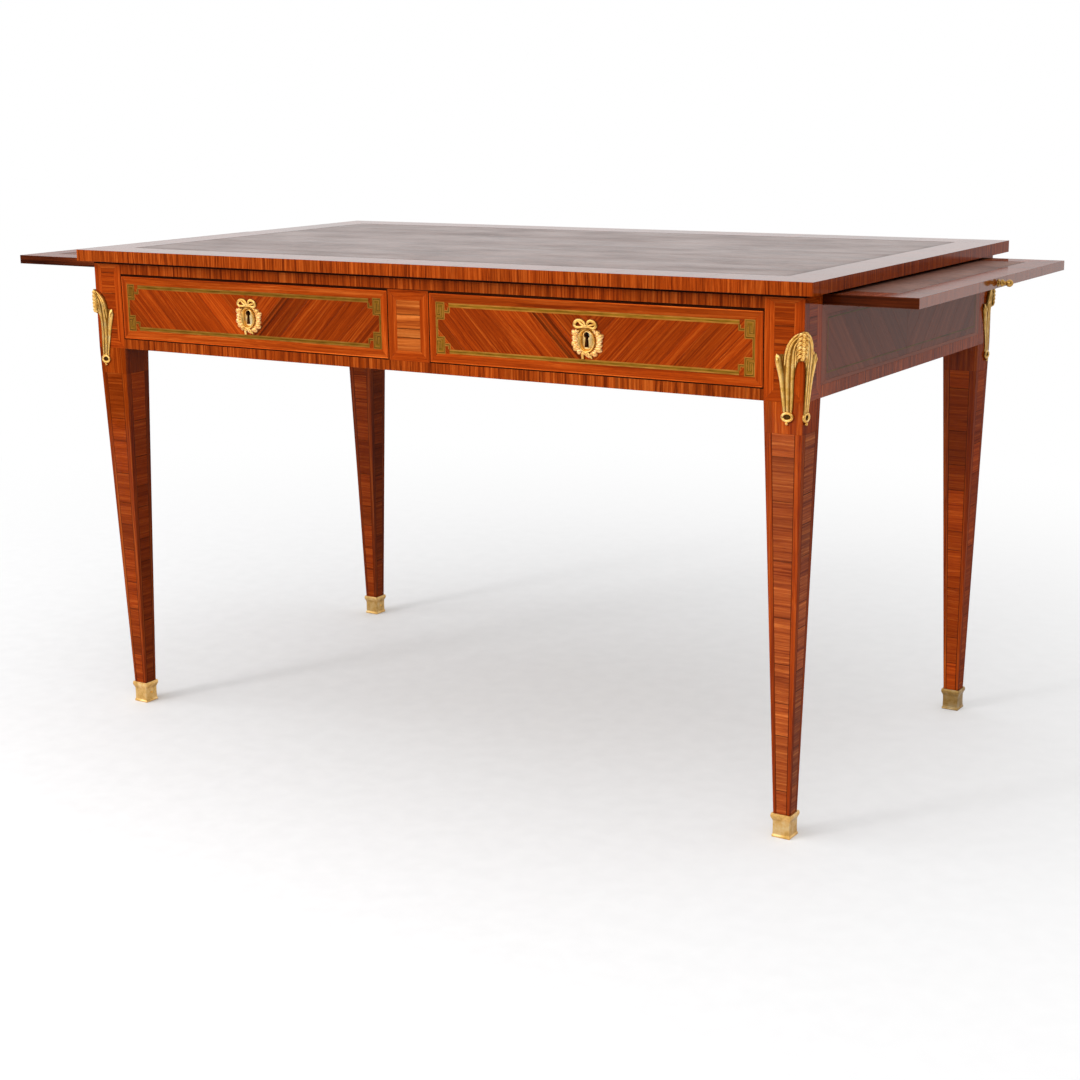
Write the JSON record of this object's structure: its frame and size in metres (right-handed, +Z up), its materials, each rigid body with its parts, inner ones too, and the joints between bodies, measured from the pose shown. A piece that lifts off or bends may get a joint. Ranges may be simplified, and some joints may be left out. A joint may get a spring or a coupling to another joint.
{
  "type": "bureau plat",
  "caption": "Flat-topped writing desk on square tapered legs, with frieze drawers, leather writing surfaces that draw out at both ends, key-fret stringing and gilt bronze mounts.",
  "frame": {"origin": "on the floor, at the middle of the rectangle of the four feet, which is the table's own centre", "axes": "+X to the right as one sits at the drawers, +Y to the back, +Z up"},
  "size_m": [1.67, 0.74, 0.77],
  "materials": {
    "veneer": "tulipwood and kingwood veneer, french polished",
    "oak": "plain oak, waxed",
    "stringing": "green-stained wood between light lines, polished",
    "leather": "brown, worn, waxed",
    "gilt_bronze": "gilt, lightly worn",
    "steel": "aged"
  },
  "bodies": {
    "carcass": {"top_panel": "veneer", "top_leather": "leather", "upper_front_rail": "veneer", "lower_front_rail": "veneer", "centre_stile": "veneer", "back_apron": "veneer", "centre_guide": "oak", "drawer_stops": "oak", "tenon_pegs": "oak", "top_dowels": "oak", "mount_pins": "gilt_bronze", "drawer_runner_left": "oak", "drawer_runner_centre": "oak", "drawer_runner_right": "oak", "side_apron_left": "veneer", "side_apron_right": "veneer", "drawer_guide_left": "oak", "drawer_guide_right": "oak", "slide_guide_front": "oak", "slide_guide_back": "oak", "leg_front_left": "veneer", "leg_front_right": "veneer", "leg_back_left": "veneer", "leg_back_right": "veneer", "sabot_front_left": "gilt_bronze", "sabot_front_right": "gilt_bronze", "sabot_back_left": "gilt_bronze", "sabot_back_right": "gilt_bronze", "corner_mount_front_left": "gilt_bronze", "corner_mount_front_right": "gilt_bronze", "corner_mount_back_left": "gilt_bronze", "corner_mount_back_right": "gilt_bronze"},
    "left_drawer": {"drawer_left_front": "veneer", "drawer_left_side_outer": "oak", "drawer_left_side_inner": "oak", "drawer_left_back": "oak", "drawer_left_bottom": "oak", "drawer_left_stringing": "stringing", "escutcheon_left": "gilt_bronze", "lock_case_left": "steel", "lock_screws_left": "steel"},
    "left_lock_bolt": {"lock_bolt_left": "steel"},
    "left_slide": {"slide_left_board": "veneer", "slide_left_leather": "leather", "slide_left_knob": "gilt_bronze", "slide_left_stop": "oak"},
    "right_drawer": {"drawer_right_front": "veneer", "drawer_right_side_outer": "oak", "drawer_right_side_inner": "oak", "drawer_right_back": "oak", "drawer_right_bottom": "oak", "drawer_right_stringing": "stringing", "escutcheon_right": "gilt_bronze", "lock_case_right": "steel", "lock_screws_right": "steel"},
    "right_lock_bolt": {"lock_bolt_right": "steel"},
    "right_slide": {"slide_right_board": "veneer", "slide_right_leather": "leather", "slide_right_knob": "gilt_bronze", "slide_right_stop": "oak"}
  },
  "joints": [
    {"name": "left_drawer_run", "type": "slide", "parent": "carcass", "child": "left_drawer", "axis": [0, -1, 0], "range_m": [0, 0.4]},
    {"name": "left_slide_draw", "type": "slide", "parent": "carcass", "child": "left_slide", "axis": [-1, 0, 0], "range_m": [-0.233, 0.147]},
    {"name": "left_bolt_throw", "type": "slide", "parent": "left_drawer", "child": "left_lock_bolt", "axis": [0, 0, 1], "range_m": [0, 0.007]},
    {"name": "right_drawer_run", "type": "slide", "parent": "carcass", "child": "right_drawer", "axis": [0, -1, 0], "range_m": [0, 0.4]},
    {"name": "right_slide_draw", "type": "slide", "parent": "carcass", "child": "right_slide", "axis": [1, 0, 0], "range_m": [-0.132, 0.248]},
    {"name": "right_bolt_throw", "type": "slide", "parent": "right_drawer", "child": "right_lock_bolt", "axis": [0, 0, 1], "range_m": [0, 0.007]}
  ]
}
